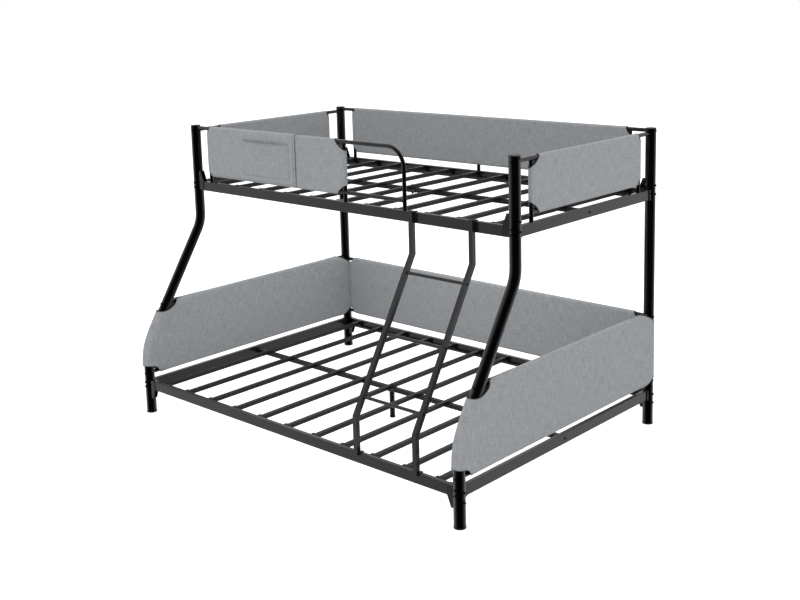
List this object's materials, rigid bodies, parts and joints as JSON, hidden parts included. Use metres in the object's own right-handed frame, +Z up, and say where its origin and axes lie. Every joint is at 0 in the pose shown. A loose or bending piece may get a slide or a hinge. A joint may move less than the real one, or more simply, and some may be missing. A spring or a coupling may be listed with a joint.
{
  "type": "bunk bed",
  "caption": "Black steel tube bunk bed with a wide lower bunk, a narrower upper bunk, bent front posts, fabric sleeved guards with a book pocket, and a hooked ladder.",
  "frame": {"origin": "on the floor, under the middle of the whole bed", "axes": "+X along the bed towards the ladder end, +Y from the ladder side to the back, +Z up"},
  "size_m": [2.0154, 1.4257, 1.378],
  "materials": {
    "black_powder_coat": "satin",
    "black_plastic": "matte",
    "fixings": "satin",
    "sleeve_cloth": "woven"
  },
  "bodies": {
    "root": {"post_front_left": "black_powder_coat", "post_front_right": "black_powder_coat", "post_back_left": "black_powder_coat", "post_back_right": "black_powder_coat", "post_caps": "black_plastic", "foot_glides": "black_plastic", "lower_front_rail": "black_powder_coat", "lower_back_rail": "black_powder_coat", "lower_left_rail": "black_powder_coat", "lower_right_rail": "black_powder_coat", "upper_front_rail": "black_powder_coat", "upper_back_rail": "black_powder_coat", "upper_left_rail": "black_powder_coat", "upper_right_rail": "black_powder_coat", "lower_rail_brackets": "black_powder_coat", "upper_rail_brackets": "black_powder_coat", "lower_slats": "black_powder_coat", "upper_slats": "black_powder_coat", "lower_slat_holders": "black_plastic", "upper_slat_holders": "black_plastic", "lower_centre_beam": "black_powder_coat", "upper_centre_beam": "black_powder_coat", "beam_couplers": "black_powder_coat", "centre_leg": "black_powder_coat", "upper_front_guard": "black_powder_coat", "upper_back_guard": "black_powder_coat", "upper_left_guard": "black_powder_coat", "upper_right_guard": "black_powder_coat", "lower_back_guard": "black_powder_coat", "lower_left_guard": "black_powder_coat", "lower_right_guard": "black_powder_coat", "upper_front_cover": "sleeve_cloth", "upper_back_cover": "sleeve_cloth", "upper_left_cover": "sleeve_cloth", "upper_right_cover": "sleeve_cloth", "lower_back_cover": "sleeve_cloth", "lower_left_cover": "sleeve_cloth", "lower_right_cover": "sleeve_cloth", "book_pocket": "sleeve_cloth", "ladder_left_rail": "black_powder_coat", "ladder_right_rail": "black_powder_coat", "ladder_rung_low": "black_powder_coat", "ladder_rung_middle": "black_powder_coat", "ladder_rung_high": "black_powder_coat", "ladder_plugs": "black_plastic", "long_rail_bolts": "fixings", "end_rail_bolts": "fixings", "rail_nuts": "fixings", "guard_bolts": "fixings", "spare_hole_plug": "black_plastic", "beam_bolts": "fixings", "beam_nuts": "fixings", "rung_bolts": "fixings", "hook_screws": "fixings"}
  },
  "joints": []
}
